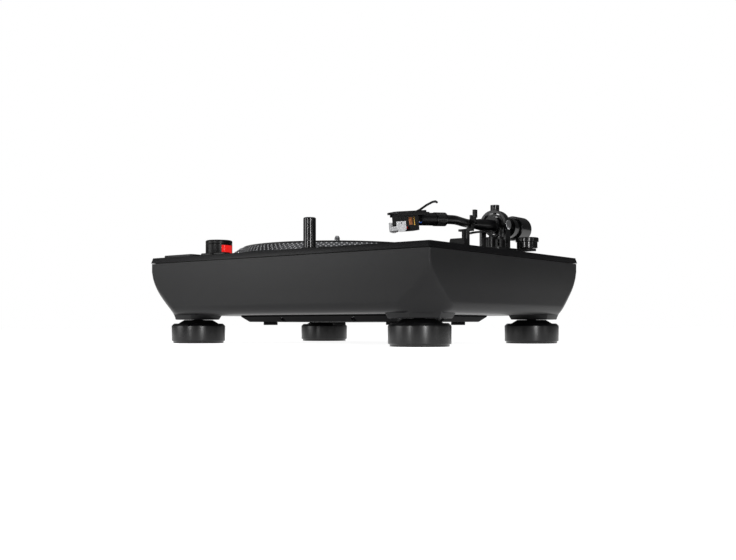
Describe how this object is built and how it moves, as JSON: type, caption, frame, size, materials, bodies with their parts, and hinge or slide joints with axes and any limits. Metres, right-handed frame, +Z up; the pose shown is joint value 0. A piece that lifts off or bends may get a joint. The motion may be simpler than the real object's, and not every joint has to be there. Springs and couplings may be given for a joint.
{
  "type": "turntable record player",
  "caption": "Direct-drive record player: flared plinth on isolating feet, heavy platter with slipmat, pitch fader, pop-up target light and S-shaped tonearm on a height-adjustable base.",
  "frame": {"origin": "on the surface the feet stand on, under the middle of the body", "axes": "+X along the front towards the tonearm side, +Y towards the back, +Z up"},
  "size_m": [0.458, 0.354, 0.1846],
  "materials": {
    "deck_black": "satin",
    "plinth_charcoal": "satin",
    "pan_black": "matte",
    "pad_rubber": "matte",
    "zinc_screw": "satin",
    "foot_paint": "satin",
    "platter_silver": "satin",
    "felt": "matte",
    "ferrite": "matte",
    "steel": "satin",
    "chrome": "polished",
    "brass": "satin",
    "board_green": "satin",
    "laminated_steel": "satin",
    "black_gloss": "gloss",
    "red_lens": "gloss",
    "silver_alu": "satin",
    "black_alu": "satin",
    "black_plastic": "satin",
    "knob_silver": "satin",
    "clear_smoke": "gloss",
    "lead_wire": "satin"
  },
  "bodies": {
    "chassis": {"top_deck": "deck_black", "plinth_shell": "plinth_charcoal", "base_pan": "pan_black", "pan_pads": "pad_rubber", "pan_screws": "zinc_screw", "spindle_bearing": "brass", "motor_stator": "board_green", "control_board": "board_green", "transformer": "laminated_steel", "rear_panel": "black_plastic", "power_inlet": "black_plastic", "phono_sockets": "brass", "ground_terminal": "zinc_screw", "strobe_housing": "black_gloss", "strobe_lens": "red_lens", "fader_body": "black_plastic", "light_bush": "black_alu", "arm_collar": "silver_alu", "arm_rest": "black_plastic"},
    "platter": {"platter": "platter_silver", "slipmat": "felt", "rotor_magnet": "ferrite", "spindle": "steel"},
    "power_switch": {"power_switch": "black_gloss"},
    "start_stop": {"start_stop_button": "silver_alu"},
    "speed_33": {"speed_33_button": "silver_alu"},
    "speed_45": {"speed_45_button": "silver_alu"},
    "pitch_reset": {"pitch_reset_button": "black_plastic"},
    "fader": {"fader_knob": "black_plastic"},
    "target_light": {"target_light": "black_gloss"},
    "light_release": {"light_release_button": "black_plastic"},
    "height_ring": {"height_ring": "black_alu"},
    "arm_base": {"arm_base": "black_alu", "gimbal_arch": "silver_alu"},
    "lock_lever": {"base_lock_lever": "black_alu"},
    "anti_skate": {"anti_skate_dial": "black_alu"},
    "cue_lever": {"cue_lever": "black_alu"},
    "arm_lifter": {"arm_lifter": "black_plastic"},
    "rest_clip": {"arm_rest_clip": "black_plastic"},
    "yaw_yoke": {"yaw_yoke": "chrome"},
    "tonearm": {"bearing_housing": "black_alu", "arm_tube": "silver_alu", "headshell": "silver_alu", "finger_lift": "silver_alu", "cartridge": "black_gloss", "headshell_leads": "lead_wire", "stylus": "red_lens"},
    "weight_sleeve": {"weight_sleeve": "black_plastic"},
    "counterweight": {"counterweight": "silver_alu"},
    "force_dial": {"force_dial": "black_alu"},
    "locking_collar": {"locking_collar": "silver_alu"},
    "stylus_guard": {"stylus_guard": "clear_smoke"},
    "foot_front_left": {"foot_front_left": "foot_paint", "foot_mount_front_left": "pad_rubber"},
    "foot_front_right": {"foot_front_right": "foot_paint", "foot_mount_front_right": "pad_rubber"},
    "foot_back_left": {"foot_back_left": "foot_paint", "foot_mount_back_left": "pad_rubber"},
    "foot_back_right": {"foot_back_right": "foot_paint", "foot_mount_back_right": "pad_rubber"}
  },
  "joints": [
    {"name": "platter_spin", "type": "hinge", "parent": "chassis", "child": "platter", "pos_m": [-0.04, -0.0085, 0.12], "axis": [0, 0, -1], "continuous": true},
    {"name": "power_switch_turn", "type": "hinge", "parent": "chassis", "child": "power_switch", "pos_m": [-0.198, -0.08, 0.14], "axis": [0, 0, 1], "range_deg": [0, 40]},
    {"name": "start_stop_press", "type": "slide", "parent": "chassis", "child": "start_stop", "axis": [0, 0, -1], "range_m": [0, 0.0015], "stiffness_N_per_m": 500, "springref_m": -0.002},
    {"name": "speed_33_press", "type": "slide", "parent": "chassis", "child": "speed_33", "axis": [0, 0, -1], "range_m": [0, 0.0015], "stiffness_N_per_m": 500, "springref_m": -0.002},
    {"name": "speed_45_press", "type": "slide", "parent": "chassis", "child": "speed_45", "axis": [0, 0, -1], "range_m": [0, 0.0015], "stiffness_N_per_m": 500, "springref_m": -0.002},
    {"name": "pitch_reset_press", "type": "slide", "parent": "chassis", "child": "pitch_reset", "axis": [0, 0, -1], "range_m": [0, 0.0015], "stiffness_N_per_m": 500, "springref_m": -0.002},
    {"name": "light_release_press", "type": "slide", "parent": "chassis", "child": "light_release", "axis": [0, 0, -1], "range_m": [0, 0.0015], "stiffness_N_per_m": 500, "springref_m": -0.002},
    {"name": "pitch_fader_slide", "type": "slide", "parent": "chassis", "child": "fader", "axis": [0, 1, 0], "range_m": [-0.05, 0.05]},
    {"name": "target_light_slide", "type": "slide", "parent": "chassis", "child": "target_light", "axis": [0, 0, 1], "range_m": [-0.035, 0]},
    {"name": "foot_front_left_screw", "type": "slide", "parent": "chassis", "child": "foot_front_left", "axis": [0, 0, -1], "range_m": [0, 0.006]},
    {"name": "foot_front_right_screw", "type": "slide", "parent": "chassis", "child": "foot_front_right", "axis": [0, 0, -1], "range_m": [0, 0.006]},
    {"name": "foot_back_left_screw", "type": "slide", "parent": "chassis", "child": "foot_back_left", "axis": [0, 0, -1], "range_m": [0, 0.006]},
    {"name": "foot_back_right_screw", "type": "slide", "parent": "chassis", "child": "foot_back_right", "axis": [0, 0, -1], "range_m": [0, 0.006]},
    {"name": "height_ring_turn", "type": "hinge", "parent": "chassis", "child": "height_ring", "pos_m": [0.148, 0.095, 0.118], "axis": [0, 0, 1], "range_deg": [0, 300]},
    {"name": "arm_base_lift", "type": "slide", "parent": "chassis", "child": "arm_base", "axis": [0, 0, 1], "range_m": [0, 0.006]},
    {"name": "lock_lever_turn", "type": "hinge", "parent": "chassis", "child": "lock_lever", "pos_m": [0.17075, 0.1344, 0.117], "axis": [0, 0, 1], "range_deg": [-25, 25]},
    {"name": "anti_skate_turn", "type": "hinge", "parent": "arm_base", "child": "anti_skate", "pos_m": [0.191, 0.105, 0.132], "axis": [0, 0, 1], "range_deg": [0, 270]},
    {"name": "cue_lever_turn", "type": "hinge", "parent": "arm_base", "child": "cue_lever", "pos_m": [0.171, 0.07, 0.1315], "axis": [1, 0, 0], "range_deg": [0, 50]},
    {"name": "arm_lifter_slide", "type": "slide", "parent": "arm_base", "child": "arm_lifter", "axis": [0, 0, -1], "range_m": [0, 0.005]},
    {"name": "rest_clip_turn", "type": "hinge", "parent": "chassis", "child": "rest_clip", "pos_m": [0.1647, 0.016, 0.15471], "axis": [0, 1, 0], "range_deg": [0, 70]},
    {"name": "arm_swing", "type": "hinge", "parent": "arm_base", "child": "yaw_yoke", "pos_m": [0.148, 0.095, 0.1573], "axis": [0, 0, -1], "range_deg": [0, 45]},
    {"name": "arm_lift", "type": "hinge", "parent": "yaw_yoke", "child": "tonearm", "pos_m": [0.148, 0.095, 0.1573], "axis": [1, 0, 0], "range_deg": [-5.5, 0.3]},
    {"name": "weight_slide", "type": "slide", "parent": "tonearm", "child": "weight_sleeve", "axis": [0, 1, 0], "range_m": [-0.001, 0.005]},
    {"name": "weight_screw", "type": "hinge", "parent": "weight_sleeve", "child": "counterweight", "pos_m": [0.148, 0.155, 0.1573], "axis": [0, 1, 0], "range_deg": [-360, 1800]},
    {"name": "force_dial_turn", "type": "hinge", "parent": "weight_sleeve", "child": "force_dial", "pos_m": [0.148, 0.139, 0.1573], "axis": [0, 1, 0], "range_deg": [-180, 180]},
    {"name": "locking_collar_turn", "type": "hinge", "parent": "tonearm", "child": "locking_collar", "pos_m": [0.166, -0.074, 0.14963], "axis": [-0.3749, -0.9261, -0.0421], "range_deg": [-30, 30]},
    {"name": "stylus_guard_turn", "type": "hinge", "parent": "tonearm", "child": "stylus_guard", "pos_m": [0.14614, -0.12306, 0.14153], "axis": [-0.9269, 0.3753, 0], "range_deg": [0, 85]}
  ],
  "couplings": [
    {"joint": "arm_base_lift", "follows": "height_ring_turn", "m_per_rad": 0.0011459},
    {"joint": "arm_lifter_slide", "follows": "cue_lever_turn", "m_per_rad": 0.0057296},
    {"joint": "weight_screw", "follows": "weight_slide", "rad_per_m": 6283.2}
  ]
}
